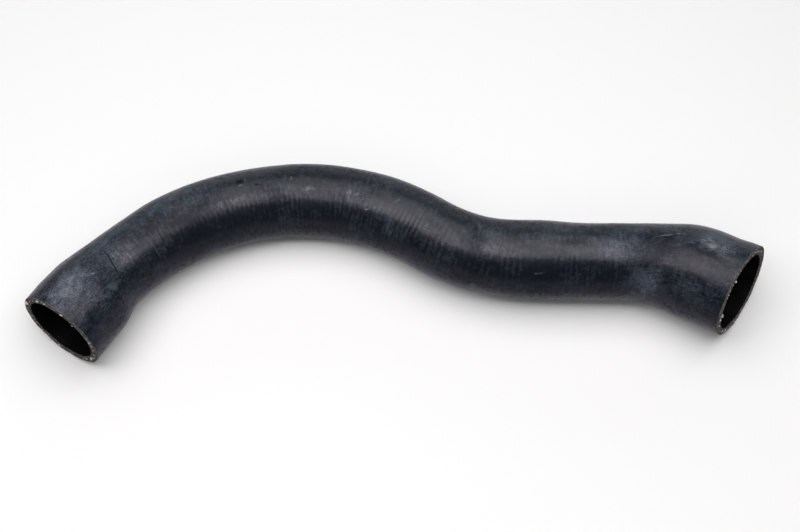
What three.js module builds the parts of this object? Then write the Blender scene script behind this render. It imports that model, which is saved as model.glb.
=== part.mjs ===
// A moulded radiator hose: one cord-reinforced rubber tube, cured on a bent mandrel and cut at both ends.
// It lies on a table as it comes to rest. Millimetres, +Z up. The left mouth is where the hose starts.
import * as THREE from 'three';

// The mandrel's diameters, which are the bore of the hose from its left mouth to its right one
const LEFT_MOUTH_BORE = 42.8;
const ARCH_BORE = 34.6;
const RUN_START_BORE = 36.7;
const RUN_END_BORE = 35.4;
const RIGHT_MOUTH_BORE = 45.5;

// The rubber laid on the mandrel
const WALL = 4.25;

// Where the bore changes along the hose
const LEFT_SLEEVE_LENGTH = 24;
const LEFT_SHOULDER_LENGTH = 24;
const RUN_FLARE_LEAD = 34;
const RUN_FLARE_LENGTH = 44;
const RIGHT_SHOULDER_LEAD = 6;
const RIGHT_SHOULDER_LENGTH = 43;

// The mandrel's straights and bends in their order. Angles are in degrees.
const LEFT_STRAIGHT = 23.1;
const ARCH_RISE_RADIUS = 145.8;
const ARCH_RISE_ANGLE = 38.6;
const ARCH_CREST_RADIUS = 128.8;
const ARCH_CREST_ANGLE = 54.2;
const COUNTER_BEND_RADIUS = 101.9;
const COUNTER_BEND_ANGLE = 32.7;
const RUN_LENGTH = 65.3;
const ELBOW_RADIUS = 78.7;
const ELBOW_ANGLE = 31.2;
const RIGHT_STRAIGHT = 17.4;
const RIGHT_SLEEVE_RISE = 6.8;

// How far each end's cut is turned from square, in degrees
const LEFT_CUT_SKEW = 2.1;
const RIGHT_CUT_SKEW = 1.6;

// The way the hose points at its left mouth, in degrees from +X
const LEFT_HEADING = 58.1;

// The fineness of the surface
const SIDES = 36;
const OUTSIDE_STEP = 7;
const BORE_STEP = 9;

// How often the points that the hose lies on are looked for
const SETTLING_ROUNDS = 4;

const { degToRad, smoothstep } = THREE.MathUtils;

function straight(length) {
  return { length, turn: 0 };
}

// A bend to the left has a positive angle.
function bend(radius, angle) {
  const turn = degToRad(angle);
  return { length: radius * Math.abs(turn), turn };
}

// The point and heading a given length into a leg that has been placed in the mandrel's plane.
function pointOnLeg(leg, along) {
  if (leg.turn === 0) {
    const x = leg.x + along * Math.cos(leg.heading);
    const y = leg.y + along * Math.sin(leg.heading);
    return { x, y, heading: leg.heading };
  }
  const radius = leg.length / leg.turn;
  const heading = leg.heading + along / radius;
  const x = leg.x + radius * (Math.sin(heading) - Math.sin(leg.heading));
  const y = leg.y - radius * (Math.cos(heading) - Math.cos(leg.heading));
  return { x, y, heading };
}

// Each leg starts where the one before it ends, in the same direction.
function placeLegs(legs, heading) {
  let next = { x: 0, y: 0, heading };
  let start = 0;
  return legs.map((leg) => {
    const placed = { ...leg, ...next, start, end: start + leg.length };
    next = pointOnLeg(placed, leg.length);
    start = placed.end;
    return placed;
  });
}

const route = placeLegs([
  straight(LEFT_STRAIGHT),
  bend(ARCH_RISE_RADIUS, -ARCH_RISE_ANGLE),
  bend(ARCH_CREST_RADIUS, -ARCH_CREST_ANGLE),
  bend(COUNTER_BEND_RADIUS, COUNTER_BEND_ANGLE),
  straight(RUN_LENGTH),
  bend(ELBOW_RADIUS, -ELBOW_ANGLE),
  straight(RIGHT_STRAIGHT),
], degToRad(LEFT_HEADING));
const [leftStraight, , , counterBend, , elbow, rightStraight] = route;
const hoseLength = rightStraight.end;

// The bore between two neighbouring entries changes along a smooth step.
const leftShoulderEnd = LEFT_SLEEVE_LENGTH + LEFT_SHOULDER_LENGTH;
const runFlareStart = counterBend.end - RUN_FLARE_LEAD;
const rightShoulderStart = elbow.start - RIGHT_SHOULDER_LEAD;
const rightShoulderEnd = rightShoulderStart + RIGHT_SHOULDER_LENGTH;
const bores = [
  { at: 0, bore: LEFT_MOUTH_BORE },
  { at: LEFT_SLEEVE_LENGTH, bore: LEFT_MOUTH_BORE },
  { at: leftShoulderEnd, bore: ARCH_BORE },
  { at: runFlareStart, bore: ARCH_BORE },
  { at: runFlareStart + RUN_FLARE_LENGTH, bore: RUN_START_BORE },
  { at: rightShoulderStart, bore: RUN_END_BORE },
  { at: rightShoulderEnd, bore: RIGHT_MOUTH_BORE },
  { at: hoseLength, bore: RIGHT_MOUTH_BORE },
];

function boreRadius(distance) {
  const next = Math.max(1, bores.findIndex((entry) => distance <= entry.at));
  const from = bores[next - 1];
  const to = bores[next];
  const share = smoothstep(distance, from.at, to.at);
  return (from.bore + (to.bore - from.bore) * share) / 2;
}

// The right sleeve climbs out of the mandrel's plane. Its slope builds up along the elbow.
function climb(distance) {
  const fullSlope = Math.tan(degToRad(RIGHT_SLEEVE_RISE));
  const intoElbow = Math.min(Math.max(distance - elbow.start, 0), elbow.length);
  const slope = fullSlope * intoElbow / elbow.length;
  const height = slope * intoElbow / 2 + fullSlope * Math.max(distance - elbow.end, 0);
  return { height, slope };
}

// How far a cut that isn't square moves a ring lengthways, for each millimetre sideways.
function cutSlope(distance) {
  const leftShare = Math.max(0, 1 - distance / leftStraight.length);
  const rightShare = Math.max(0, 1 - (hoseLength - distance) / rightStraight.length);
  return leftShare * Math.tan(degToRad(LEFT_CUT_SKEW)) + rightShare * Math.tan(degToRad(RIGHT_CUT_SKEW));
}

// Where a point of the straight sleeve comes to lie once the sleeve is on the mandrel.
function onMandrel(distance, left, up) {
  const leg = route.find((placed) => distance <= placed.end) ?? rightStraight;
  const { x, y, heading } = pointOnLeg(leg, distance - leg.start);
  const { height, slope } = climb(distance);
  const along = new THREE.Vector3(Math.cos(heading), Math.sin(heading), slope).normalize();
  const leftwards = new THREE.Vector3(-Math.sin(heading), Math.cos(heading), 0);
  const upright = new THREE.Vector3().crossVectors(along, leftwards);
  return new THREE.Vector3(x, y, height)
    .addScaledVector(leftwards, left)
    .addScaledVector(upright, up)
    .addScaledVector(along, left * cutSlope(distance));
}

// Ring positions over the whole hose, evenly spaced between the places where its bore starts to change.
function ringPositions(step) {
  const positions = [];
  for (let index = 1; index < bores.length; index += 1) {
    const from = bores[index - 1].at;
    const stretch = bores[index].at - from;
    const count = Math.ceil(stretch / step);
    for (let ring = 0; ring < count; ring += 1) positions.push(from + stretch * ring / count);
  }
  return [...positions, hoseLength];
}

// The sleeve before it is bent: the section of its wall, turned round the mandrel's axis.
function straightSleeve() {
  const outside = ringPositions(OUTSIDE_STEP).map((at) => new THREE.Vector2(boreRadius(at) + WALL, at));
  const bore = ringPositions(BORE_STEP).map((at) => new THREE.Vector2(boreRadius(at), at));
  const wall = [...outside, ...bore.reverse()];
  wall.push(wall[0].clone());
  return new THREE.LatheGeometry(wall, SIDES);
}

function bentSleeve() {
  const geometry = straightSleeve();
  const points = geometry.getAttribute('position');
  for (let index = 0; index < points.count; index += 1) {
    const place = onMandrel(points.getY(index), points.getX(index), -points.getZ(index));
    points.setXYZ(index, place.x, place.y, place.z);
  }
  geometry.computeVertexNormals();
  return geometry;
}

// The underside of the hose at a distance along it, while the mandrel's plane is level.
function underside(distance) {
  return onMandrel(distance, 0, -boreRadius(distance) - WALL);
}

// The point of the underside between two distances that is lowest once the hose is turned.
function lowestPoint(start, end, turned) {
  const points = ringPositions(OUTSIDE_STEP).filter((at) => at >= start && at <= end).map(underside);
  const heights = points.map((point) => point.clone().applyQuaternion(turned).z);
  return points[heights.indexOf(Math.min(...heights))];
}

// The turn that lays the hose down on three points: one on its left sleeve, one on its arch and one on its
// right half. A new turn can move the lowest points a little, so they are looked for again.
function layDown() {
  const turned = new THREE.Quaternion();
  const table = new THREE.Plane();
  for (let settle = 0; settle < SETTLING_ROUNDS; settle += 1) {
    table.setFromCoplanarPoints(
      lowestPoint(0, leftShoulderEnd, turned),
      lowestPoint(counterBend.end, hoseLength, turned),
      lowestPoint(leftShoulderEnd, counterBend.end, turned),
    );
    turned.setFromUnitVectors(table.normal, new THREE.Vector3(0, 0, 1));
  }
  return turned;
}

const rubber = new THREE.MeshStandardMaterial({ color: 0x2a2f37, roughness: 0.62, metalness: 0 });
const hose = new THREE.Mesh(bentSleeve(), rubber);
hose.name = 'hose';
hose.quaternion.copy(layDown());

// The origin is on the table, under the middle of the hose's outline.
const outline = new THREE.Box3().setFromObject(hose, true);
const middle = outline.getCenter(new THREE.Vector3());
hose.position.set(-middle.x, -middle.y, -outline.min.z);

const radiatorHose = new THREE.Group();
radiatorHose.add(hose);

export default radiatorHose;
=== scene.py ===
"""A moulded radiator hose: ribbed and bloomed rubber, and two cut faces with cord ends in them."""

import logging
import math
import random
from dataclasses import dataclass, field
from enum import Enum
from typing import Any, Callable, Sequence

import bmesh
import bpy
import numpy as np
from mathutils import Euler, Matrix, Vector, noise


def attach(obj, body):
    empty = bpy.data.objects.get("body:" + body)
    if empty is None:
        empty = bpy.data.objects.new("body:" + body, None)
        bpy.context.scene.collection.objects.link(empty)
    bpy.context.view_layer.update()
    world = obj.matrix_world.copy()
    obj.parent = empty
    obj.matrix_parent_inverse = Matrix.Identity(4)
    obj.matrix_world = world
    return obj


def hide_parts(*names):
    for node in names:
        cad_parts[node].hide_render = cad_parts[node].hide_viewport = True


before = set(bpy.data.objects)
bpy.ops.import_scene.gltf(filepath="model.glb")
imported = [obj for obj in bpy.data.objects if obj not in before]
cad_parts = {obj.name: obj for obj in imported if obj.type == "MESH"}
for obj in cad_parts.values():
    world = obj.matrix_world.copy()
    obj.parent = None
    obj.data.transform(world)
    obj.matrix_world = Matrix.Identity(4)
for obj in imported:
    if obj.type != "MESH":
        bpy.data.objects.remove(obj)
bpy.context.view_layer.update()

logging.basicConfig(level=logging.INFO, format="%(message)s")
log = logging.getLogger("radiator_hose")

MM = 0.001
TINY = 0.01 * MM
BODY = "root"
NODE = "hose"

# The middle of a noise's range
MIDDLE = 0.5

Colour = tuple[float, float, float]
Span = tuple[float, float]
Triple = tuple[float, float, float]
PartTest = Callable[[Any], bool]


class Side(Enum):
    """The two ends of the hose."""

    LEFT = "left"
    RIGHT = "right"


class Surface(Enum):
    """The surfaces of the hose's wall, by their place in its list of materials."""

    OUTSIDE = 0
    CUT = 1
    BORE = 2


class Part(Enum):
    """The parts of a mesh that can be selected by a test."""

    EDGES = "EDGE"
    FACES = "FACE"


def smooth_step(share: np.ndarray) -> np.ndarray:
    """Eases a share from 0 to 1 in and out."""
    held = np.clip(share, 0.0, 1.0)
    return held * held * (3.0 - 2.0 * held)


def bell(distance: np.ndarray, width: float) -> np.ndarray:
    """A bell that is 1 at distance 0 and has faded at twice its width."""
    return np.exp(-((distance / width) ** 2))


@dataclass(frozen=True)
class Unevenness:
    """Smooth unevenness of a shape: the size of its blobs, its own seed and its strength."""

    size: float
    seed: float
    strength: float

    def at(self, places: np.ndarray) -> np.ndarray:
        """Works out the unevenness at many places.

        Args:
            places: One row of three coordinates for each place, in metres.

        Returns:
            One number for each place, from about minus the strength to the strength.
        """
        shift = Vector((self.seed, 2.0 * self.seed, 3.0 * self.seed))
        blobs = [noise.noise(Vector(place) / self.size + shift) for place in places]
        return np.array(blobs) * self.strength


def deselect_all() -> None:
    """Leaves nothing selected, so that the next operator works on its own object only."""
    if bpy.context.object and bpy.context.object.mode != "OBJECT":
        bpy.ops.object.mode_set(mode="OBJECT")
    bpy.ops.object.select_all(action="DESELECT")


def select_only(*chosen: bpy.types.Object) -> None:
    """Selects objects and makes the first one active.

    Args:
        chosen: The objects to select.
    """
    deselect_all()
    for thing in chosen:
        thing.select_set(True)
    bpy.context.view_layer.objects.active = chosen[0]


def select_parts(thing: bpy.types.Object, kind: Part, wanted: PartTest) -> None:
    """Goes into edit mode with only some edges or faces selected.

    Args:
        thing: The object to edit.
        kind: Whether edges or faces are selected.
        wanted: A test that an edge or a face passes if it is to be selected.
    """
    select_only(thing)
    bpy.ops.object.mode_set(mode="EDIT")
    bpy.ops.mesh.select_mode(type=kind.value)
    bpy.ops.mesh.select_all(action="DESELECT")
    shape = bmesh.from_edit_mesh(thing.data)
    for part in shape.edges if kind is Part.EDGES else shape.faces:
        part.select_set(wanted(part))
    bmesh.update_edit_mesh(thing.data)


def reach(edge: bmesh.types.BMEdge) -> float:
    """How far an edge of the straight sleeve runs lengthways."""
    return abs(edge.verts[0].co.x - edge.verts[1].co.x)


def on_radius(edge: bmesh.types.BMEdge, *radii: float) -> bool:
    """Tests whether an edge keeps one of some distances from the sleeve's axis."""
    return any(all(abs(v.co.yz.length - radius) < TINY for v in edge.verts) for radius in radii)


@dataclass(frozen=True)
class Leg:
    """A straight or a bend of the mandrel. A bend to the left has a positive turn, in radians."""

    length: float
    turn: float = 0.0
    x: float = 0.0
    y: float = 0.0
    heading: float = 0.0
    start: float = 0.0

    @property
    def end(self) -> float:
        """The distance along the hose at which the leg ends."""
        return self.start + self.length

    def point(self, along: np.ndarray) -> tuple[np.ndarray, np.ndarray, np.ndarray]:
        """Follows the leg in the mandrel's plane.

        Args:
            along: Distances from the leg's start.

        Returns:
            The x, the y and the heading at each distance.
        """
        if self.turn == 0.0:
            x = self.x + along * math.cos(self.heading)
            y = self.y + along * math.sin(self.heading)
            return x, y, np.full(np.shape(along), self.heading)
        radius = self.length / self.turn
        heading = self.heading + along / radius
        x = self.x + radius * (np.sin(heading) - math.sin(self.heading))
        y = self.y - radius * (np.cos(heading) - math.cos(self.heading))
        return x, y, heading


def bend(radius: float, degrees: float) -> Leg:
    """A bend of the mandrel."""
    turn = math.radians(degrees)
    return Leg(length=radius * abs(turn), turn=turn)


@dataclass
class Mandrel:
    """The bent mandrel that the hose is cured on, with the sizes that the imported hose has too."""

    left_mouth_bore: float = 42.8 * MM
    arch_bore: float = 34.6 * MM
    run_start_bore: float = 36.7 * MM
    run_end_bore: float = 35.4 * MM
    right_mouth_bore: float = 45.5 * MM
    wall: float = 4.25 * MM
    left_sleeve_length: float = 24.0 * MM
    left_shoulder_length: float = 24.0 * MM
    run_flare_lead: float = 34.0 * MM
    run_flare_length: float = 44.0 * MM
    right_shoulder_lead: float = 6.0 * MM
    right_shoulder_length: float = 43.0 * MM
    right_sleeve_rise: float = math.radians(6.8)
    left_cut_skew: float = math.radians(2.1)
    right_cut_skew: float = math.radians(1.6)
    left_heading: float = math.radians(58.1)
    left_straight: Leg = Leg(23.1 * MM)
    arch_rise: Leg = bend(145.8 * MM, -38.6)
    arch_crest: Leg = bend(128.8 * MM, -54.2)
    counter_bend: Leg = bend(101.9 * MM, 32.7)
    run: Leg = Leg(65.3 * MM)
    elbow: Leg = bend(78.7 * MM, -31.2)
    right_straight: Leg = Leg(17.4 * MM)
    settling_rounds: int = 4
    outline_steps: tuple[int, int] = (400, 120)
    legs: list[Leg] = field(init=False)
    bores: list[tuple[float, float]] = field(init=False)
    lie: np.ndarray = field(init=False)
    origin: np.ndarray = field(init=False)

    def __post_init__(self) -> None:
        """Places the legs one after another and lays the mandrel down as the finished hose lies."""
        self.place_legs()
        self.place_bores()
        self.lie = np.eye(3)
        for _ in range(self.settling_rounds):
            self.lie = self.settled_lie()
        self.origin = self.outline_origin()

    def place_legs(self) -> None:
        """Starts each leg where the one before it ends, in the same direction."""
        x, y, heading, start = 0.0, 0.0, self.left_heading, 0.0
        loose = [self.left_straight, self.arch_rise, self.arch_crest, self.counter_bend]
        loose += [self.run, self.elbow, self.right_straight]
        self.legs = []
        for leg in loose:
            placed = Leg(leg.length, leg.turn, x, y, heading, start)
            self.legs.append(placed)
            x, y, heading = (float(value) for value in placed.point(np.array(leg.length)))
            start = placed.end
        self.counter_bend, self.elbow = self.legs[3], self.legs[5]

    def place_bores(self) -> None:
        """Lists the distances at which the bore starts or stops changing, with the bore there."""
        flare_start = self.counter_bend.end - self.run_flare_lead
        shoulder_start = self.elbow.start - self.right_shoulder_lead
        self.bores = [
            (0.0, self.left_mouth_bore),
            (self.left_sleeve_length, self.left_mouth_bore),
            (self.left_shoulder_end, self.arch_bore),
            (flare_start, self.arch_bore),
            (flare_start + self.run_flare_length, self.run_start_bore),
            (shoulder_start, self.run_end_bore),
            (shoulder_start + self.right_shoulder_length, self.right_mouth_bore),
        ]

    @property
    def length(self) -> float:
        """The length of the hose along its middle line."""
        return self.legs[-1].end

    @property
    def left_shoulder_end(self) -> float:
        """The distance at which the left shoulder has narrowed to the arch."""
        return self.left_sleeve_length + self.left_shoulder_length

    def bore_radius(self, along: np.ndarray) -> np.ndarray:
        """The radius of the bore.

        Args:
            along: Distances along the hose.

        Returns:
            The radius at each distance.
        """
        bore = np.full(np.shape(along), self.bores[0][1])
        for (start, _), (end, to) in zip(self.bores, self.bores[1:]):
            bore = bore + (to - bore) * smooth_step((along - start) / (end - start))
        return bore / 2.0

    def on_mandrel(self, along: np.ndarray, left: np.ndarray, up: np.ndarray) -> np.ndarray:
        """Finds where points of the straight sleeve come to lie once it is on the mandrel.

        Args:
            along: Distances along the hose.
            left: Distances from its middle line to the left.
            up: Distances from its middle line upwards.

        Returns:
            One row of three coordinates for each point, with the mandrel's plane level.
        """
        x, y, heading = self.legs[0].point(along)
        for leg in self.legs[1:]:
            here = along >= leg.start
            on_leg = leg.point(along - leg.start)
            x, y, heading = (np.where(here, new, old) for new, old in zip(on_leg, (x, y, heading)))
        full_slope = math.tan(self.right_sleeve_rise)
        into_elbow = np.clip(along - self.elbow.start, 0.0, self.elbow.length)
        slope = full_slope * into_elbow / self.elbow.length
        height = slope * into_elbow / 2.0 + full_slope * np.maximum(along - self.elbow.end, 0.0)
        forward = np.stack([np.cos(heading), np.sin(heading), slope], axis=-1)
        forward /= np.linalg.norm(forward, axis=-1, keepdims=True)
        leftwards = np.stack([-np.sin(heading), np.cos(heading), np.zeros_like(heading)], axis=-1)
        upright = np.cross(forward, leftwards)
        skewed = (left * self.cut_slope(along))[..., None] * forward
        middle = np.stack([x, y, height], axis=-1)
        return middle + left[..., None] * leftwards + up[..., None] * upright + skewed

    def cut_slope(self, along: np.ndarray) -> np.ndarray:
        """How far a cut that isn't square moves a ring lengthways for each metre sideways.

        Args:
            along: Distances along the hose.

        Returns:
            The slope at each distance.
        """
        left_share = np.maximum(0.0, 1.0 - along / self.legs[0].length)
        right_share = np.maximum(0.0, 1.0 - (self.length - along) / self.legs[-1].length)
        slopes = math.tan(self.left_cut_skew), math.tan(self.right_cut_skew)
        return left_share * slopes[0] + right_share * slopes[1]

    def settled_lie(self) -> np.ndarray:
        """Finds the turn that lays the hose on its left sleeve, its arch and its right half.

        Returns:
            The turn as a matrix, which starts from the lie before it.
        """
        stretches = [
            (0.0, self.left_shoulder_end),
            (self.counter_bend.end, self.length),
            (self.left_shoulder_end, self.counter_bend.end),
        ]
        contacts = []
        for start, end in stretches:
            along = np.arange(start, end, MM)
            underside = self.on_mandrel(along, 0.0 * along, -self.bore_radius(along) - self.wall)
            contacts.append(Vector(underside[np.argmin((underside @ self.lie.T)[:, 2])]))
        normal = (contacts[1] - contacts[0]).cross(contacts[2] - contacts[0])
        turn = normal.rotation_difference(Vector((0.0, 0.0, 1.0)))
        return np.array(turn.to_matrix())

    def outline_origin(self) -> np.ndarray:
        """Finds the point on the table under the middle of the hose's outline.

        Returns:
            The point, with the hose laid down.
        """
        steps, turns = self.outline_steps
        grid = (np.linspace(0.0, self.length, steps), np.linspace(0.0, math.tau, turns))
        along, angle = np.meshgrid(*grid, indexing="ij")
        radius = self.bore_radius(along) + self.wall
        skin = self.on_mandrel(along, radius * np.cos(angle), radius * np.sin(angle)) @ self.lie.T
        low, high = skin.min(axis=(0, 1)), skin.max(axis=(0, 1))
        return np.array([(low[0] + high[0]) / 2.0, (low[1] + high[1]) / 2.0, low[2]])

    def placed(self, along: np.ndarray, left: np.ndarray, up: np.ndarray) -> np.ndarray:
        """Finds where points of the straight sleeve are on the hose as it lies on the table."""
        return self.on_mandrel(along, left, up) @ self.lie.T - self.origin


@dataclass(frozen=True)
class Cloud:
    """Cloudy noise: the size of its blobs, and how many and how strong its finer layers are.

    A stretch says how many times as long the pattern gets along each axis.
    """

    size: float
    detail: float = 4.0
    rough: float = 0.6
    stretch: Triple | None = None


class Value:
    """A node's output, which takes part in Python expressions as a number does."""

    def __init__(self, shader: "Shader", socket: bpy.types.NodeSocket) -> None:
        """Wraps a socket."""
        self.shader = shader
        self.socket = socket

    def __add__(self, other: "Value | float") -> "Value":
        """This value plus another."""
        return self.shader.maths("ADD", self, other)

    def __radd__(self, other: float) -> "Value":
        """A number plus this value."""
        return self.shader.maths("ADD", other, self)

    def __sub__(self, other: "Value | float") -> "Value":
        """This value less another."""
        return self.shader.maths("SUBTRACT", self, other)

    def __rsub__(self, other: float) -> "Value":
        """A number less this value."""
        return self.shader.maths("SUBTRACT", other, self)

    def __mul__(self, other: "Value | float") -> "Value":
        """This value times another."""
        return self.shader.maths("MULTIPLY", self, other)

    def __rmul__(self, other: float) -> "Value":
        """A number times this value."""
        return self.shader.maths("MULTIPLY", other, self)


class Shader:
    """The nodes of one material, made by Python expressions."""

    def __init__(self, name: str) -> None:
        """Starts an empty material.

        Args:
            name: The material's name.
        """
        self.material = bpy.data.materials.new(name)
        self.material.use_nodes = True
        self.tree = self.material.node_tree
        self.tree.nodes.clear()

    def node(
        self,
        kind: str,
        settings: dict[str, Any] | None = None,
        inputs: dict[str | int, Any] | None = None,
        output: str | int | None = 0,
    ) -> Value | None:
        """Adds a node.

        Args:
            kind: The node's type.
            settings: Its settings, which are set first.
            inputs: The value or the link of each of its sockets.
            output: The output that is wanted. The last node of a material has none.

        Returns:
            That output.
        """
        made = self.tree.nodes.new(kind)
        for name, setting in (settings or {}).items():
            setattr(made, name, setting)
        for socket, given in (inputs or {}).items():
            if isinstance(given, Value):
                self.tree.links.new(given.socket, made.inputs[socket])
            else:
                made.inputs[socket].default_value = given
        return None if output is None else Value(self, made.outputs[output])

    def maths(self, operation: str, first: Value | float, second: Value | float) -> Value:
        """Adds a Math node."""
        return self.node("ShaderNodeMath", {"operation": operation}, {0: first, 1: second})

    def attribute(self, name: str, output: str) -> Value:
        """Reads one of the piece's own attributes."""
        settings = {"attribute_name": name, "attribute_type": "GEOMETRY"}
        return self.node("ShaderNodeAttribute", settings, output=output)

    def noise(self, place: Value, cloud: Cloud, output: str | int = 0) -> Value:
        """Adds cloudy noise, from 0 to 1.

        Args:
            place: Where the noise is read.
            cloud: What the noise is like.
            output: The noise itself, or "Color" for three noises at once.

        Returns:
            The noise.
        """
        if cloud.stretch:
            shrink = tuple(1.0 / times for times in cloud.stretch)
            scale = {"operation": "MULTIPLY"}
            place = self.node("ShaderNodeVectorMath", scale, {0: place, 1: shrink})
        inputs = {"Vector": place, "Scale": 1.0 / cloud.size}
        inputs |= {"Detail": cloud.detail, "Roughness": cloud.rough}
        return self.node("ShaderNodeTexNoise", None, inputs, output)

    def ragged(self, place: Value, size: float, drift: float) -> Value:
        """Shifts a place unevenly, so that the edge of a mark on it gets ragged.

        Args:
            place: The place.
            size: The size of the edge's lobes, in metres.
            drift: How far the noise's whole range moves it, in metres.

        Returns:
            The shifted place.
        """
        shift = self.noise(place, Cloud(size), "Color")
        centring = {"operation": "SUBTRACT"}
        centred = self.node("ShaderNodeVectorMath", centring, {0: shift, 1: (MIDDLE,) * 3})
        moving = {"operation": "MULTIPLY_ADD"}
        return self.node("ShaderNodeVectorMath", moving, {0: centred, 1: (drift,) * 3, 2: place})

    def between(self, value: Value, start: float, end: float) -> Value:
        """Eases a value in from 0 at a start to 1 at an end."""
        settings = {"interpolation_type": "SMOOTHSTEP"}
        return self.node("ShaderNodeMapRange", settings, {0: value, 1: start, 2: end})

    def blend(self, mask: Value, under: Value | Colour, over: Value | Colour) -> Value:
        """Lays one colour over another.

        Args:
            mask: How much of the upper colour shows.
            under: The lower colour.
            over: The upper colour.

        Returns:
            The mixed colour.
        """
        plain = [paint if isinstance(paint, Value) else (*paint, 1.0) for paint in (under, over)]
        inputs = {0: mask, 6: plain[0], 7: plain[1]}
        return self.node("ShaderNodeMix", {"data_type": "RGBA"}, inputs, output=2)

    def bump(self, height: Value, depth: float) -> Value:
        """Turns a height into a bumped normal."""
        return self.node("ShaderNodeBump", None, {"Height": height, "Distance": depth}, "Normal")

    def finish(self, surface: dict[str, Any]) -> bpy.types.Material:
        """Ends the material with its surface.

        Args:
            surface: The value or the link of each socket of the Principled BSDF.

        Returns:
            The material.
        """
        shading = self.node("ShaderNodeBsdfPrincipled", None, surface)
        self.node("ShaderNodeOutputMaterial", None, {"Surface": shading}, output=None)
        return self.material


@dataclass(frozen=True)
class Mark:
    """A soft-edged mark on the hose's outside. Angles are in degrees, from the left up and over."""

    along: float
    angle: float
    length: float
    width: float
    tilt: float
    strength: float
    edge: float = 0.9
    depth: float = 9.0 * MM

    def mask(self, shader: Shader, place: Value, mandrel: Mandrel) -> Value:
        """Makes the mark's mask.

        Args:
            shader: The shader that the mask is part of.
            place: The place on the straight sleeve.
            mandrel: The mandrel, which gives the hose's radius.

        Returns:
            The mask, which is the mark's strength in its middle and 0 outside it.
        """
        middle, turn = self.seat(mandrel)
        inputs = {
            "Vector": place,
            "Location": middle,
            "Rotation": turn.to_euler("XYZ"),
            "Scale": (self.length / 2.0, self.width / 2.0, self.depth),
        }
        local = shader.node("ShaderNodeMapping", {"vector_type": "TEXTURE"}, inputs)
        settings = {"operation": "LENGTH"}
        away = shader.node("ShaderNodeVectorMath", settings, {0: local}, output="Value")
        return self.strength * shader.between(away, 1.0, 1.0 - self.edge)

    def height(self, sleeve: np.ndarray, mandrel: Mandrel) -> np.ndarray:
        """Works out the same mask for the shape of the hose.

        Args:
            sleeve: Places on the straight sleeve.
            mandrel: The mandrel, which gives the hose's radius.

        Returns:
            The mask at each place.
        """
        middle, turn = self.seat(mandrel)
        halves = np.array([self.length / 2.0, self.width / 2.0, self.depth])
        local = (sleeve - np.array(middle)) @ np.array(turn) / halves
        away = np.linalg.norm(local, axis=-1)
        return self.strength * smooth_step((1.0 - away) / self.edge)

    def seat(self, mandrel: Mandrel) -> tuple[Vector, Matrix]:
        """Finds where the mark lies on the straight sleeve.

        Args:
            mandrel: The mandrel, which gives the hose's radius.

        Returns:
            The mark's middle, and its turn from flat and lengthways.
        """
        angle = math.radians(self.angle)
        radius = float(mandrel.bore_radius(np.array(self.along))) + mandrel.wall
        middle = Vector((self.along, radius * math.cos(angle), radius * math.sin(angle)))
        facing = Matrix.Rotation(angle - math.pi / 2.0, 3, "X")
        return middle, facing @ Matrix.Rotation(math.radians(self.tilt), 3, "Z")


def marks(*rows: tuple[float, ...]) -> tuple[Mark, ...]:
    """Makes marks from rows of numbers.

    Args:
        rows: The place along the hose, angle, length, width, tilt and strength of each mark. The
            place, the length and the width are in millimetres.

    Returns:
        The marks.
    """
    made = []
    for along, angle, length, width, tilt, strength in rows:
        made.append(Mark(along * MM, angle, length * MM, width * MM, tilt, strength))
    return tuple(made)


def all_marks(shader: Shader, place: Value, mandrel: Mandrel, chosen: tuple[Mark, ...]) -> Value:
    """Adds up the masks of several marks, read at places on the straight sleeve."""
    masks = [mark.mask(shader, place, mandrel) for mark in chosen]
    return sum(masks[1:], masks[0])


def mixed(patterns: Sequence[Value], weights: Sequence[float]) -> Value:
    """Adds up patterns, each times its weight."""
    parts = [pattern * weight for pattern, weight in zip(patterns, weights)]
    return sum(parts[1:], parts[0])


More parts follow.
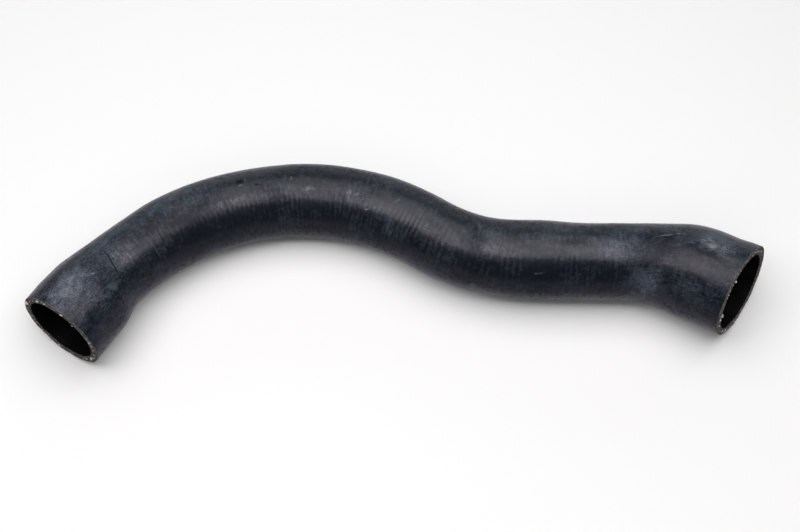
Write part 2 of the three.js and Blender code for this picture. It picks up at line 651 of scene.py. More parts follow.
@dataclass(frozen=True)
class OutsideRubber:
    """The cover: satin black rubber with a blue-grey bloom, rubbed patches and fine cross ribs.

    A mix holds the weights of mottle, streaks and speckle, and powder_mix those of grit and mottle.
    """

    black: Colour = (0.0050, 0.0076, 0.0112)
    bloom: Colour = (0.055, 0.068, 0.092)
    chalk_and_highlight: Colour = (0.145, 0.152, 0.172)
    mirror_tint: Colour = (0.98, 0.90, 1.0)
    dust: Colour = (0.92, 0.93, 1.0)
    dust_weight: float = 0.11
    dust_roughness: float = 0.32
    blooms: tuple[Mark, ...] = marks(
        (38, 90, 100, 60, 0, 0.34), (13, 88, 46, 32, 4, 0.55), (12, 128, 40, 22, -4, 0.25),
        (32, 131, 20, 13, 0, 0.60), (90, 74, 90, 22, 0, 0.28), (236, 138, 66, 18, 0, 0.28),
        (278, 188, 12, 12, 0, 0.60), (300, 78, 120, 18, 0, 0.22), (353, 101, 46, 36, -12, 0.42),
        (371, 161, 40, 40, 0, 0.50), (362, 64, 60, 20, 0, 0.38), (408, 72, 44, 26, 0, 0.50),
        (400, 143, 60, 22, 0, 0.22),
    )
    rubbed: tuple[Mark, ...] = marks(
        (404, 109, 50, 24, -4, 0.55), (14, 63, 30, 10, 0, 0.70), (120, 112, 90, 12, 0, 0.25),
        (305, 113, 60, 11, 0, 0.25), (308, 142, 84, 22, 0, 0.16), (95, 156, 90, 20, 0, 0.16),
    )
    chalks_and_painted_highlights: tuple[Mark, ...] = marks(
        (13, 87, 46, 28, 3, 0.70), (14, 125, 44, 24, 0, 0.22), (46, 100, 1.4, 18, -5, 0.6),
        (49.5, 108, 1.2, 20, 4, 0.6), (53, 116, 1.2, 18, -3, 0.6), (56.5, 110, 1.2, 14, 5, 0.5),
        (55, 83, 1.6, 8, -25, 0.8), (29.5, 101.6, 2.4, 1.5, 0, 1.3), (48, 172, 1, 8, 0, 1.2),
        # Painted highlight: the marks at 134.6 mm, 83 degrees and at 131.8 mm, 90.5 degrees light
        # up the dimple's rim.
        (52.5, 165, 1, 7, -10, 1.2), (122, 112, 80, 7, 0, 0.35), (134.6, 83, 1.6, 6, 0, 0.6),
        (131.8, 90.5, 6, 1.6, 0, 0.6), (160.5, 89, 1.8, 6, 25, 0.5), (171, 107, 12, 7, 20, 0.55),
        (195.7, 108, 2.8, 17, 6, 0.6), (200.5, 103, 4, 13, -14, 0.5), (212, 112, 44, 14, 0, 0.22),
        (209, 124, 5, 1.8, 30, 0.8), (224, 96, 2, 8, -35, 0.5), (286, 111, 24, 9, 0, 0.3),
        (309, 142, 10, 1.6, 10, 0.7), (352, 102, 38, 32, -12, 0.24), (372, 157, 28, 30, 0, 0.35),
        (378.5, 79.5, 12, 1.3, 14, 1.5), (386.5, 75.5, 12, 1.2, 14, 1.6),
        (403, 80, 18, 12, -20, 0.8), (407, 86, 7, 6, 20, 1.2), (414, 80, 18, 13, 0, 0.6),
    )
    dulled: tuple[Mark, ...] = marks(
        (20, 104, 60, 24, 0, 0.45), (92, 104, 80, 26, 0, 0.40), (275, 106, 24, 26, 0, 0.45),
        (370, 104, 36, 36, 0, 0.50), (402, 95, 46, 12, 0, 0.55),
    )
    # Pits: the dimple, the crease and small pits, sunk a little into the shape, and painted black
    # in the material as the shade inside them.
    pits: tuple[Mark, ...] = marks(
        (131.3, 83, 5.6, 5, 0, 2.2), (41.8, 116, 1.3, 33, -16.3, 1.1),
        (140.5, 94, 2.2, 1.6, 0, 0.7), (163.5, 150, 2.2, 1.6, 0, 0.7), (275, 70, 1.4, 7, 40, 0.7),
    )
    across: Cloud = Cloud(1.3 * MM, stretch=(1.0, 4.0, 4.0))
    lengthways: Cloud = Cloud(1.2 * MM, stretch=(6.0, 1.0, 1.0))
    clouds: Cloud = Cloud(24.0 * MM)
    mottle: Cloud = Cloud(3.5 * MM, 6.0, 0.7)
    speckle: Cloud = Cloud(1.3 * MM, 2.0, 0.6)
    grit: Cloud = Cloud(0.9 * MM, 3.0, 0.65)
    polish: Cloud = Cloud(14.0 * MM, 3.0, 0.55, (2.0, 1.0, 1.0))
    smeared_edge: Span = (12.0 * MM, 22.0 * MM)
    rough_edge: Span = (3.0 * MM, 3.5 * MM)
    pit_edge: Span = (6.0 * MM, 2.0 * MM)
    body_starts: Span = (42.0 * MM, 74.0 * MM)
    body_ends: Span = (386.0 * MM, 352.0 * MM)
    grain_mix: Triple = (1.4, 1.1, 0.5)
    grit_grain: float = 2.2
    grit_loss_on_body: float = 1.2
    frost_mix: Triple = (0.5, 0.3, 0.4)
    frosted: Span = (0.52, 0.74)
    powder_mix: Span = (0.5, 0.5)
    powdered: Span = (0.40, 0.62)
    stray_powder: float = 0.15
    even_bloom: float = 0.09
    bloom_grain: float = 0.7
    rib_light_and_shade_in_bloom: float = 0.12
    even_shine: float = 0.52
    shine_patches: float = 1.6
    shine_on_frost: float = 0.25
    shine_on_ribs: float = 0.10
    gloss: float = 0.28
    dull: float = 0.48
    mottled_dulling: float = 0.15
    pit_dulling: float = 0.5
    refraction: float = 1.18
    wax_refraction: float = 1.27
    relief_mix: Triple = (0.4, 0.5, 0.3)
    pit_bump: float = 2.5
    grain_depth: float = 0.2 * MM

    def material(self, mandrel: Mandrel) -> bpy.types.Material:
        """Makes the material.

        Args:
            mandrel: The mandrel, on which the marks are placed.

        Returns:
            The material.
        """
        shader = Shader("outside_rubber")
        place = shader.attribute("sleeve", "Vector")
        along = shader.node("ShaderNodeSeparateXYZ", None, {0: place})
        rib = shader.attribute("rib", "Fac")
        starts = shader.between(along, *self.body_starts)
        body = starts * shader.between(along, *self.body_ends)
        # The patterns that the parts of the finish share
        across = shader.noise(place, self.across)
        lengthways = shader.noise(place, self.lengthways)
        streaks = body * (across - lengthways) + lengthways
        mottle = shader.noise(place, self.mottle)
        speckle = shader.noise(place, self.speckle)
        grit = shader.noise(place, self.grit)
        fine = (mottle, streaks, speckle)
        # Single marks, whose edges are shifted unevenly
        smeared = shader.ragged(place, *self.smeared_edge)
        roughened = shader.ragged(place, *self.rough_edge)
        pitted = shader.ragged(place, *self.pit_edge)
        patches = all_marks(shader, smeared, mandrel, self.blooms)
        rubbed = all_marks(shader, smeared, mandrel, self.rubbed)
        dulled = all_marks(shader, smeared, mandrel, self.dulled)
        chalk_and_highlight_mask = all_marks(shader, roughened, mandrel, self.chalks_and_painted_highlights)
        pits = all_marks(shader, pitted, mandrel, self.pits)
        # The bloom
        clouds = shader.noise(place, self.clouds)
        grain = mixed([pattern - MIDDLE for pattern in fine], self.grain_mix)
        grain = grain + (grit - MIDDLE) * (self.grit_grain - body * self.grit_loss_on_body)
        amount = self.even_bloom + (clouds - MIDDLE) + patches - rubbed
        # The bloom is thicker on the rib crests and thinner in the grooves: painted light on the
        # crests and painted shade in the grooves, over the real relief.
        amount = amount + grain * self.bloom_grain + rib * self.rib_light_and_shade_in_bloom
        bloom = shader.between(amount, 0.0, 1.0)
        # The chalk marks, two of which paint a highlight on the dimple's rim
        powder = mixed((grit, mottle), self.powder_mix)
        chalk_and_highlight_mask = chalk_and_highlight_mask * (shader.between(powder, *self.powdered) + self.stray_powder)
        # The waxy shine
        polish = shader.noise(place, self.polish)
        frost = shader.between(mixed(fine, self.frost_mix), *self.frosted)
        shine = self.even_shine + (polish - MIDDLE) * self.shine_patches - dulled
        shine = shine + frost * self.shine_on_frost + rib * self.shine_on_ribs - pits
        # The rubber under it
        roughness = self.gloss + bloom * (self.dull - self.gloss)
        roughness = roughness + (mottle - MIDDLE) * self.mottled_dulling + pits * self.pit_dulling
        colour = shader.blend(bloom, self.black, self.bloom)
        colour = shader.blend(shader.between(chalk_and_highlight_mask, 0.0, 1.0), colour, self.chalk_and_highlight)
        # Painted shade: the dimple, the crease and the small pits are coloured bare black.
        colour = shader.blend(shader.between(pits, 0.0, 1.0), colour, self.black)
        relief = mixed(fine, self.relief_mix) - pits * self.pit_bump
        surface = {
            "Base Color": colour,
            "Roughness": roughness,
            "IOR": self.refraction,
            "Specular Tint": (*self.mirror_tint, 1.0),
            "Coat Weight": shader.between(shine, 0.0, 1.0),
            "Coat Roughness": self.gloss,
            "Coat IOR": self.wax_refraction,
            "Sheen Weight": self.dust_weight,
            "Sheen Roughness": self.dust_roughness,
            "Sheen Tint": (*self.dust, 1.0),
            "Normal": shader.bump(relief, self.grain_depth),
        }
        return shader.finish(surface)


@dataclass(frozen=True)
class CutRubber:
    """The cut faces: dull grey-brown rubber, torn and specked by the cord in it."""

    dark: Colour = (0.016, 0.015, 0.014)
    rubber: Colour = (0.050, 0.046, 0.040)
    pale_lip_colour: Colour = (0.21, 0.185, 0.145)
    cord: Colour = (0.36, 0.34, 0.29)
    cord_depth: float = 0.5
    torn: Cloud = Cloud(0.8 * MM, 4.0, 0.65)
    flecks: Cloud = Cloud(1.1 * MM, 2.0, 0.5)
    torn_parts: Span = (0.35, 0.65)
    specked: Span = (0.56, 0.66)
    lip_bands: Span = (0.38, 0.49)
    lip_breaks: Span = (0.46, 0.60)
    roughness: float = 0.85
    grain_depth: float = 0.25 * MM

    def material(self) -> bpy.types.Material:
        """Makes the material.

        Returns:
            The material.
        """
        shader = Shader("cut_rubber")
        place = shader.attribute("sleeve", "Vector")
        depth = shader.attribute("depth", "Fac")
        torn = shader.noise(place, self.torn)
        flecks = shader.noise(place, self.flecks)
        from_layer = shader.maths("ABSOLUTE", depth - self.cord_depth, 0.0)
        layer = 1.0 - shader.between(from_layer, 0.0, self.cord_depth)
        specks = shader.between(flecks, *self.specked) * layer
        edges = shader.between(from_layer, *self.lip_bands)
        pale_lips = edges * shader.between(torn, *self.lip_breaks)
        colour = shader.blend(shader.between(torn, *self.torn_parts), self.dark, self.rubber)
        # The cut face is paler along both of its lips, broken up by the torn noise.
        colour = shader.blend(pale_lips, colour, self.pale_lip_colour)
        colour = shader.blend(specks, colour, self.cord)
        surface = {
            "Base Color": colour,
            "Roughness": self.roughness,
            "Normal": shader.bump(torn + flecks, self.grain_depth),
        }
        return shader.finish(surface)


@dataclass(frozen=True)
class BoreRubber:
    """The lining: smooth black rubber, dulled a little by coolant, and coloured far darker than the
    cover as painted shade inside the bore.
    """

    # Painted shade: this black is far darker than the cover's, for the shade inside the bore.
    black: Colour = (0.0012, 0.0012, 0.0015)
    film: Colour = (0.004, 0.004, 0.0045)
    streaks: Cloud = Cloud(9.0 * MM, stretch=(4.0, 1.0, 1.0))
    filmed: Span = (0.4, 0.7)
    clean_roughness: float = 0.65
    film_roughness: float = 0.2
    shine: float = 0.05

    def material(self) -> bpy.types.Material:
        """Makes the material.

        Returns:
            The material.
        """
        shader = Shader("bore_rubber")
        place = shader.attribute("sleeve", "Vector")
        film = shader.noise(place, self.streaks)
        surface = {
            "Base Color": shader.blend(shader.between(film, *self.filmed), self.black, self.film),
            "Roughness": self.clean_roughness + film * self.film_roughness,
            "Specular IOR Level": self.shine,
        }
        return shader.finish(surface)


@dataclass(frozen=True)
class CordYarn:
    """The cord ends: pale fibre, greyed by the rubber round it."""

    pale: Colour = (0.60, 0.58, 0.53)
    grey: Colour = (0.07, 0.067, 0.06)
    soil: Cloud = Cloud(2.5 * MM, 3.0, 0.6)
    soiled: Span = (0.40, 0.55)
    fibres: Cloud = Cloud(0.15 * MM, 2.0, 0.5)
    fibre_depth: float = 0.05 * MM
    roughness: float = 0.9

    def material(self) -> bpy.types.Material:
        """Makes the material.

        Returns:
            The material.
        """
        shader = Shader("cord_yarn")
        place = shader.node("ShaderNodeTexCoord", output="Object")
        pale = shader.between(shader.noise(place, self.soil), *self.soiled)
        fibres = shader.noise(place, self.fibres)
        surface = {
            "Base Color": shader.blend(pale, self.grey, self.pale),
            "Roughness": self.roughness,
            "Normal": shader.bump(fibres, self.fibre_depth),
        }
        return shader.finish(surface)


@dataclass
class HoseBody:
    """The moulded hose: a straight sleeve, given its relief and bent over the mandrel."""

    mandrel: Mandrel
    sides: int = 84
    outside_cuts: tuple[int, ...] = (40, 19)
    bore_cuts: tuple[int, ...] = (90,)
    face_rings: int = 4
    lip: float = 0.35 * MM
    lip_segments: int = 2
    smooth_angle: float = math.radians(40.0)
    cut_facing: float = 0.3
    rib_pitch: float = 3.08 * MM
    rib_height: float = 0.085 * MM
    rib_start: float = 44.0 * MM
    rib_end: float = 366.0 * MM
    rib_fade: float = 26.0 * MM
    rib_wander: Unevenness = Unevenness(18.0 * MM, 11.0, 2.0)
    rib_lean: float = 0.5
    rib_strength: float = 0.45
    rib_limit: float = 0.9
    rib_breaks: tuple[Unevenness, ...] = (
        Unevenness(14.0 * MM, 17.0, 0.8),
        Unevenness(5.0 * MM, 19.0, 0.7),
    )
    rib_bundles: tuple[Triple, ...] = (
        (166.0 * MM, 9.0 * MM, 0.35),
        (222.0 * MM, 30.0 * MM, 0.15),
        (291.0 * MM, 9.0 * MM, 0.35),
    )
    rib_all_round: float = 0.25
    rib_side: float = 130.0
    rib_side_width: float = 27.0
    lumps: Unevenness = Unevenness(34.0 * MM, 4.0, 0.28 * MM)
    cut_fade: float = 2.0 * MM
    cut_waves: Unevenness = Unevenness(9.0 * MM, 23.0, 0.30 * MM)
    cut_tears: Unevenness = Unevenness(1.6 * MM, 29.0, 0.14 * MM)
    swells: tuple[Mark, ...] = marks(
        (29, 33, 36, 36, 0, -0.85 * MM), (64, 33, 44, 36, 0, -0.80 * MM),
        (141, 36, 84, 36, 0, -0.50 * MM), (215, 34, 40, 36, 0, 0.30 * MM),
        (332, 34, 40, 36, 0, -0.50 * MM), (360, 34, 28, 36, 0, 0.35 * MM),
        (381, 34, 26, 36, 0, -0.50 * MM), (427, 35, 28, 30, 0, 0.90 * MM),
    )
    pit_depth: float = 0.12 * MM
    cover: OutsideRubber = OutsideRubber()

    def build(self) -> bpy.types.Object:
        """Builds and dresses the hose.

        Returns:
            The finished piece.
        """
        piece = self.add_sleeve()
        self.mark_surfaces(piece.data)
        self.mould(piece.data)
        piece.data.materials.append(self.cover.material(self.mandrel))
        piece.data.materials.append(CutRubber().material())
        piece.data.materials.append(BoreRubber().material())
        select_only(piece)
        bpy.ops.object.shade_smooth_by_angle(angle=self.smooth_angle)
        return piece

    def add_sleeve(self) -> bpy.types.Object:
        """Adds the straight sleeve: outside, cut faces and bore, drawn on from one open tube.

        Returns:
            The sleeve, as wide as the arch all along and divided into rings.
        """
        bore = self.mandrel.arch_bore / 2.0
        outside = bore + self.mandrel.wall
        deselect_all()
        bpy.ops.mesh.primitive_cylinder_add(
            vertices=self.sides,
            radius=outside,
            depth=self.mandrel.length,
            end_fill_type="NOTHING",
            location=(self.mandrel.length / 2.0, 0.0, 0.0),
            rotation=(0.0, math.pi / 2.0, 0.0),
        )
        bpy.ops.object.transform_apply(location=True, rotation=True, scale=True)
        sleeve = bpy.context.object
        select_parts(sleeve, Part.EDGES, lambda edge: max(v.co.x for v in edge.verts) < TINY)
        self.draw_rings(outside, bore)
        move = {"value": (self.mandrel.length, 0.0, 0.0)}
        bpy.ops.mesh.extrude_region_move(TRANSFORM_OT_translate=move)
        self.draw_rings(bore, outside)
        bpy.ops.mesh.select_all(action="SELECT")
        bpy.ops.mesh.remove_doubles(threshold=TINY)
        bpy.ops.mesh.normals_make_consistent(inside=False)
        # The lips are where the cut faces meet the outside and the bore.
        select_parts(
            sleeve, Part.EDGES, lambda edge: reach(edge) < TINY and on_radius(edge, bore, outside)
        )
        bpy.ops.mesh.bevel(offset=self.lip, segments=self.lip_segments, affect="EDGES")
        for radius, cuts in ((outside, self.outside_cuts), (bore, self.bore_cuts)):
            for count in cuts:
                select_parts(
                    sleeve, Part.EDGES, lambda edge: reach(edge) > MM and on_radius(edge, radius)
                )
                bpy.ops.mesh.subdivide(number_cuts=count)
        bpy.ops.object.mode_set(mode="OBJECT")
        sleeve.name = "hose_body"
        sleeve.data.name = "hose_body"
        return sleeve

    def draw_rings(self, start: float, end: float) -> None:
        """Draws the selected ring on to another radius, over a few rings between.

        Args:
            start: The ring's radius.
            end: The radius of the last new ring.
        """
        radii = np.linspace(start, end, self.face_rings + 1)
        for radius, next_radius in zip(radii, radii[1:]):
            scale = float(next_radius / radius)
            bpy.ops.mesh.extrude_region_move()
            bpy.ops.transform.resize(value=(1.0, scale, scale))

    def mark_surfaces(self, mesh: bpy.types.Mesh) -> None:
        """Gives each face the surface that it belongs to.

        Args:
            mesh: The straight sleeve's mesh.
        """
        middle_radius = (self.mandrel.arch_bore + self.mandrel.wall) / 2.0
        for face in mesh.polygons:
            if abs(face.normal.x) > self.cut_facing:
                face.material_index = Surface.CUT.value
            elif face.center.yz.length < middle_radius:
                face.material_index = Surface.BORE.value
            else:
                face.material_index = Surface.OUTSIDE.value

    def mould(self, mesh: bpy.types.Mesh) -> None:
        """Shapes the straight sleeve, keeps its places for the materials and bends it.

        Args:
            mesh: The straight sleeve's mesh.
        """
        places = np.empty(len(mesh.vertices) * 3)
        mesh.vertices.foreach_get("co", places)
        along, left, up = places.reshape(-1, 3).T
        angle = np.arctan2(up, left)
        depth = (np.hypot(left, up) - self.mandrel.arch_bore / 2.0) / self.mandrel.wall
        radius = self.mandrel.bore_radius(along) + depth * self.mandrel.wall
        sleeve = np.stack([along, radius * np.cos(angle), radius * np.sin(angle)], axis=-1)
        rib = self.rib_wave(along, angle, sleeve)
        self.keep(mesh, "sleeve", "FLOAT_VECTOR", "vector", sleeve)
        self.keep(mesh, "depth", "FLOAT", "value", depth)
        self.keep(mesh, "rib", "FLOAT", "value", rib)
        # The relief fades from the outside to the middle of the wall.
        skin = smooth_step(depth * 2.0 - 1.0)
        swells = sum(swell.height(sleeve, self.mandrel) for swell in self.swells)
        pits = sum(pit.height(sleeve, self.mandrel) for pit in self.cover.pits)
        relief = rib * self.rib_height + self.lumps.at(sleeve) + swells - pits * self.pit_depth
        radius = radius + skin * relief
        along = along + self.cut_wander(along, sleeve)
        bent = self.mandrel.placed(along, radius * np.cos(angle), radius * np.sin(angle))
        # The lowest swells are flat against the table.
        bent[:, 2] = np.maximum(bent[:, 2], 0.0)
        mesh.vertices.foreach_set("co", bent.ravel())
        mesh.update()

    @staticmethod
    def keep(mesh: bpy.types.Mesh, name: str, kind: str, part: str, values: np.ndarray) -> None:
        """Keeps values on the mesh's vertices, for the materials to read."""
        kept = mesh.attributes.new(name, kind, "POINT")
        kept.data.foreach_set(part, values.ravel())

    def rib_wave(self, along: np.ndarray, angle: np.ndarray, sleeve: np.ndarray) -> np.ndarray:
        """The cross ribs that the wrapping tape pressed into the rubber.

        Args:
            along: Distances along the hose.
            angle: Angles round it.
            sleeve: Places on the straight sleeve.

        Returns:
            The ribs' height, from -1 to 1, at each vertex.
        """
        wander = self.rib_wander.at(sleeve) + np.sin(angle) * self.rib_lean
        wave = np.sin(math.tau * along / self.rib_pitch + wander)
        starts = smooth_step((along - self.rib_start) / self.rib_fade)
        ends = smooth_step((self.rib_end - along) / self.rib_fade)
        uneven = self.rib_strength + sum(part.at(sleeve) for part in self.rib_breaks)
        for middle, width, more in self.rib_bundles:
            uneven = uneven + more * bell(along - middle, width)
        from_side = np.degrees(np.mod(angle, math.tau)) - self.rib_side
        round_hose = self.rib_all_round + bell(from_side, self.rib_side_width)
        return wave * starts * ends * np.clip(uneven, 0.0, self.rib_limit) * round_hose

    def cut_wander(self, along: np.ndarray, sleeve: np.ndarray) -> np.ndarray:
        """The unevenness of the cuts, which fades over the first millimetres of the sleeve.

        Args:
            along: Distances along the hose.
            sleeve: Places on the straight sleeve.

        Returns:
            How far each vertex moves lengthways.
        """
        near_left = bell(along, self.cut_fade)
        near_right = bell(self.mandrel.length - along, self.cut_fade)
        return (near_left + near_right) * (self.cut_waves.at(sleeve) + self.cut_tears.at(sleeve))


@dataclass
class CordEnds:
    """The ends of the reinforcing cord in one cut face: small tufts and a few loose threads.

    A strand is a larger tuft: its angle in degrees, its depth in the wall and its size. The sizes
    of a tuft's neck and tip are shares of its radius and height.
    """

    mandrel: Mandrel
    side: Side
    pitch: float = 2.9 * MM
    tuft_radius: float = 0.32 * MM
    tuft_height: float = 0.22 * MM
    depth: float = 0.5
    scatter: float = 0.17
    left_strands: tuple[Triple, ...] = (
        (22, 0.62, 4), (61, 0.55, 2.6), (76, 0.60, 2), (103, 0.50, 2.5), (106, 0.60, 2.2),
        (126, 0.02, 1.8), (160, 0.60, 2.3), (166, 0.65, 2.4), (199, 0.70, 2), (205, 0.45, 2.3),
        (212, 0.35, 2.4), (218, 0.60, 2.2), (286, 0.45, 2.2), (300, 0.50, 2.2),
    )
    right_strands: tuple[Triple, ...] = (
        (54, 0.55, 1.7), (114, 0.02, 2.4), (169, 0.02, 2.9), (174, 0.45, 2), (216, 0.40, 2.1),
        (223, 0.60, 2.4), (230, 0.35, 1.8), (259, 0.75, 2.2),
    )
    jitter: float = 0.35
    tuft_sizes: tuple[float, ...] = (0.5, 0.7, 0.8, 1.0, 1.2, 1.5)
    tuft_sides: int = 7
    top_facing: float = 0.9
    neck_inset: float = 0.3
    neck_rise: float = 0.25
    tip_lean: float = 0.2
    tip_rise: float = 0.4
    tip_squash: Triple = (0.6, 0.45, 1.0)
    threads: int = 4
    thread_radius: float = 0.09 * MM
    thread_length: float = 3.6 * MM
    thread_depth: float = 0.25
    thread_curl: float = math.radians(80.0)
    thread_sides: int = 5
    thread_steps: int = 8
    smooth_angle: float = math.radians(50.0)

    def build(self) -> bpy.types.Object:
        """Builds and dresses the cord ends.

        Returns:
            The finished piece.
        """
        draw = random.Random(self.side.value)
        bore, strands = self.mandrel.left_mouth_bore, self.left_strands
        if self.side is Side.RIGHT:
            bore, strands = self.mandrel.right_mouth_bore, self.right_strands
        circumference = math.pi * (bore + self.mandrel.wall)
        tufts = round(circumference / self.pitch)
        tuft, thread = self.add_tuft(), self.add_thread()
        made = []
        for number in range(tufts):
            angle = math.tau * (number + draw.uniform(-self.jitter, self.jitter)) / tufts
            depth = self.depth + draw.uniform(-self.scatter, self.scatter)
            size = draw.choice(self.tuft_sizes)
            made.append(self.place_copy(tuft, angle, depth, size, draw.uniform(0.0, math.tau)))
        for degrees, depth, size in strands:
            spin = draw.uniform(0.0, math.tau)
            made.append(self.place_copy(tuft, math.radians(degrees), depth, size, spin))
        for _ in range(self.threads):
            angle = draw.uniform(0.0, math.tau)
            spin = draw.uniform(0.0, math.tau)
            made.append(self.place_copy(thread, angle, self.thread_depth, 1.0, spin))
        for pattern in (tuft, thread):
            bpy.data.objects.remove(pattern)
        select_only(*made)
        bpy.ops.object.join()
        piece = bpy.context.object
        bpy.ops.object.transform_apply(location=True, rotation=True, scale=True)
        bpy.ops.object.shade_smooth_by_angle(angle=self.smooth_angle)
        piece.name = f"{self.side.value}_cord_ends"
        piece.data.name = piece.name
        piece.data.materials.clear()
        piece.data.materials.append(CordYarn().material())
        return piece

    def add_tuft(self) -> bpy.types.Object:
        """Models one tuft: a short stump of yarn whose cut end is drawn in and frayed.

        Returns:
            The tuft, upright on the origin.
        """
        deselect_all()
        bpy.ops.mesh.primitive_cylinder_add(
            vertices=self.tuft_sides, radius=self.tuft_radius, depth=self.tuft_height
        )
        tuft = bpy.context.object
        select_parts(tuft, Part.FACES, lambda face: face.normal.z > self.top_facing)
        neck = (self.tuft_radius * self.neck_inset, self.tuft_height * self.neck_rise)
        bpy.ops.mesh.inset(thickness=neck[0], depth=neck[1])
        tip = (self.tuft_radius * self.tip_lean, 0.0, self.tuft_height * self.tip_rise)
        bpy.ops.mesh.extrude_region_move(TRANSFORM_OT_translate={"value": tip})
        bpy.ops.transform.resize(value=self.tip_squash)
        bpy.ops.object.mode_set(mode="OBJECT")
        return tuft

    def add_thread(self) -> bpy.types.Object:
        """Models one loose thread: a thin curl that starts upright on the origin.

        Returns:
            The thread.
        """
        deselect_all()
        bpy.ops.mesh.primitive_circle_add(
            vertices=self.thread_sides, radius=self.thread_radius, fill_type="NGON"
        )
        thread = bpy.context.object
        centre = (self.thread_length / self.thread_curl, 0.0, 0.0)
        bpy.ops.object.mode_set(mode="EDIT")
        bpy.ops.mesh.select_all(action="SELECT")
        bpy.ops.mesh.spin(
            steps=self.thread_steps, angle=self.thread_curl, center=centre, axis=(0.0, 1.0, 0.0)
        )
        bpy.ops.mesh.select_all(action="SELECT")
        bpy.ops.mesh.normals_make_consistent(inside=False)
        bpy.ops.object.mode_set(mode="OBJECT")
        return thread

    def place_copy(
        self, pattern: bpy.types.Object, angle: float, depth: float, size: float, spin: float
    ) -> bpy.types.Object:
        """Sets a copy of a tuft or a thread into the cut face.

        Args:
            pattern: What is copied.
            angle: The place round the hose.
            depth: The place in the wall, from 0 at the bore to 1 outside.
            size: How large the copy is.
            spin: How far it is turned about its own axis.

        Returns:
            The copy.
        """
        end, inwards = (0.0, MM) if self.side is Side.LEFT else (self.mandrel.length, -MM)
        along = np.array([end, end + inwards])
        radius = self.mandrel.bore_radius(along) + depth * self.mandrel.wall
        left, up = radius * math.cos(angle), radius * math.sin(angle)
        seat, behind = self.mandrel.placed(along, left, up)
        outwards = Vector(seat - behind).to_track_quat("Z", "Y").to_matrix()
        copy = bpy.data.objects.new(pattern.name, pattern.data.copy())
        bpy.context.scene.collection.objects.link(copy)
        turned = outwards.to_4x4() @ Matrix.Rotation(spin, 4, "Z")
        copy.matrix_world = Matrix.Translation(Vector(seat)) @ turned @ Matrix.Scale(size, 4)
        return copy


class Role(Enum):
    """What a lamp does: it lights, or it is only seen as a highlight, or both."""

    LIGHTS = (True, False)
    SHINES = (False, True)
    BOTH = (True, True)


@dataclass(frozen=True)
class Lamp:
    """A flat lamp that shines down. A tilt turns it to the camera, a negative one away."""

    name: str
    place: tuple[float, float, float]
    size: tuple[float, float]
    radiance: float
    role: Role = Role.BOTH
    colour: Colour = (1.0, 0.99, 0.985)
    tilt: float = 0.0

    def build(self) -> None:
        """Adds the lamp."""
        light = bpy.data.lights.new(self.name, "AREA")
        light.shape = "RECTANGLE"
        light.size, light.size_y = self.size
        light.energy = self.radiance * math.pi * self.size[0] * self.size[1]
        light.color = self.colour
        lamp = bpy.data.objects.new(self.name, light)
        lamp.location = self.place
        lamp.rotation_euler = Euler((-self.tilt, 0.0, 0.0))
        lamp.visible_diffuse, lamp.visible_glossy = self.role.value
        bpy.context.scene.collection.objects.link(lamp)


PINKISH: Colour = (1.0, 0.945, 0.99)
ROSY: Colour = (1.0, 0.95, 0.99)
BLUISH: Colour = (0.97, 0.99, 1.0)
SKY: Colour = (0.93, 0.97, 1.0)
DAYLIGHT: Colour = (0.9, 0.96, 1.0)


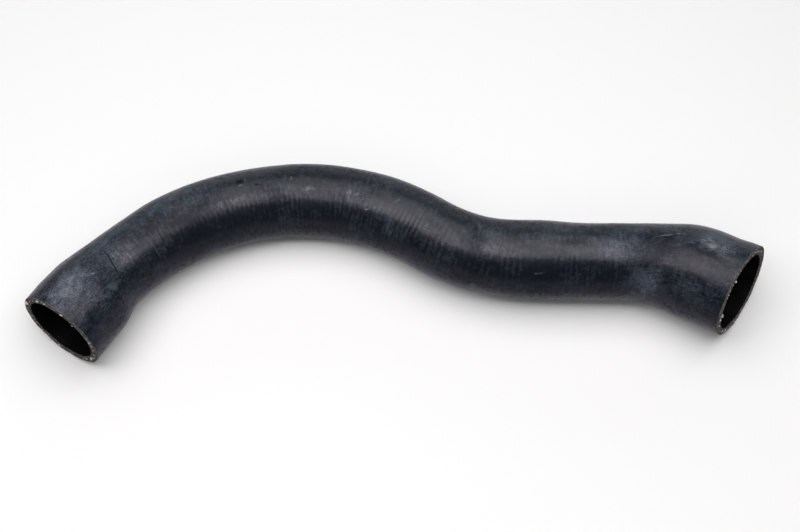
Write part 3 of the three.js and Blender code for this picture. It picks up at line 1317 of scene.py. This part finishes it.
@dataclass
class Studio:
    """The pale table, the softbox over it, the dim room and the camera.

    The fill lamps hang a little above the softboxes, because lamps in one plane hide each other in
    the hose's highlights. The table is mirrored darker than it is seen, as black rubber shows it.
    """

    floor_size: float = 30.0
    floor_colour: Colour = (0.935, 0.93, 0.927)
    mirrored_floor: Colour = (0.50, 0.475, 0.53)
    floor_clouds: Cloud = Cloud(0.5, 2.0, 0.5)
    clouded: float = 0.985
    floor_roughness: float = 0.9
    lamps: tuple[Lamp, ...] = (
        Lamp("key", (-0.20, -0.27, 0.86), (1.30, 0.21), 2.4, Role.LIGHTS),
        Lamp("fill_low", (0.0, -0.80, 0.75), (1.20, 0.40), 0.9, Role.LIGHTS, tilt=-math.pi / 4.0),
        Lamp("fill_front", (-0.06, -0.15, 1.02), (1.50, 0.54), 2.75, Role.LIGHTS),
        Lamp("fill_back", (-0.04, 0.36, 1.02), (1.50, 0.48), 2.05, Role.LIGHTS),
        Lamp("softbox_front", (-0.04, -0.15, 1.0), (1.40, 0.54), 5.9, Role.SHINES, PINKISH),
        Lamp("softbox_middle", (-0.04, 0.285, 1.0), (1.40, 0.33), 3.9, Role.SHINES, ROSY),
        Lamp("softbox_back", (-0.04, 0.65, 1.0), (1.40, 0.40), 3.0, Role.SHINES, BLUISH),
        Lamp("softbox_edge", (-0.04, 1.05, 1.0), (1.40, 0.40), 1.8, Role.SHINES, SKY),
        Lamp("backdrop", (0.0, 1.7, 0.5), (4.0, 1.0), 0.8, Role.BOTH, DAYLIGHT, math.pi / 2.0),
    )
    room_colour: Colour = (0.86, 0.93, 1.0)
    room_strength: float = 0.08
    camera_target: tuple[float, float, float] = (1.63 * MM, 8.19 * MM, -0.2 * MM)
    camera_distance: float = 0.8864
    camera_elevation: float = math.radians(61.5)
    camera_lens: float = 67.95
    camera_sensor: float = 36.0

    def build(self) -> None:
        """Builds the table, the light and the camera."""
        self.add_floor()
        for lamp in self.lamps:
            lamp.build()
        self.add_room()
        self.add_camera()

    def add_floor(self) -> None:
        """Adds the pale table."""
        deselect_all()
        bpy.ops.mesh.primitive_plane_add(size=self.floor_size)
        floor = bpy.context.object
        floor.name = "floor"
        shader = Shader("floor")
        place = shader.node("ShaderNodeTexCoord", output="Object")
        clouds = shader.noise(place, self.floor_clouds)
        shade = tuple(self.clouded * channel for channel in self.floor_colour)
        white = shader.blend(clouds, self.floor_colour, shade)
        in_mirror = shader.node("ShaderNodeLightPath", output="Is Glossy Ray")
        surface = {
            "Base Color": shader.blend(in_mirror, white, self.mirrored_floor),
            "Roughness": self.floor_roughness,
            "Specular IOR Level": 0.0,
        }
        floor.data.materials.append(shader.finish(surface))

    def add_room(self) -> None:
        """Adds the dim light of the room."""
        world = bpy.data.worlds.new("room")
        world.use_nodes = True
        background = world.node_tree.nodes["Background"]
        background.inputs["Color"].default_value = (*self.room_colour, 1.0)
        background.inputs["Strength"].default_value = self.room_strength
        bpy.context.scene.world = world

    def add_camera(self) -> None:
        """Adds the camera, which looks down along +Y."""
        camera = bpy.data.cameras.new("camera")
        camera.sensor_width = self.camera_sensor
        camera.lens = self.camera_lens
        holder = bpy.data.objects.new("camera", camera)
        back = Vector((0.0, -math.cos(self.camera_elevation), math.sin(self.camera_elevation)))
        holder.location = Vector(self.camera_target) + back * self.camera_distance
        holder.rotation_euler = Euler((math.pi / 2.0 - self.camera_elevation, 0.0, 0.0))
        bpy.context.scene.collection.objects.link(holder)
        bpy.context.scene.camera = holder


def main() -> None:
    """Builds the studio and the hose, and reports each piece."""
    Studio().build()
    bpy.context.scene.view_settings.view_transform = "Standard"
    mandrel = Mandrel()
    hose = HoseBody(mandrel).build()
    ends = [CordEnds(mandrel, side).build() for side in Side]
    for piece, slot in [(hose, "rubber")] + [(end, "yarn") for end in ends]:
        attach(piece, BODY)
        log.info("%s: %d faces", piece.name, len(piece.data.polygons))
    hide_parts(NODE)


if __name__ == "__main__":
    main()
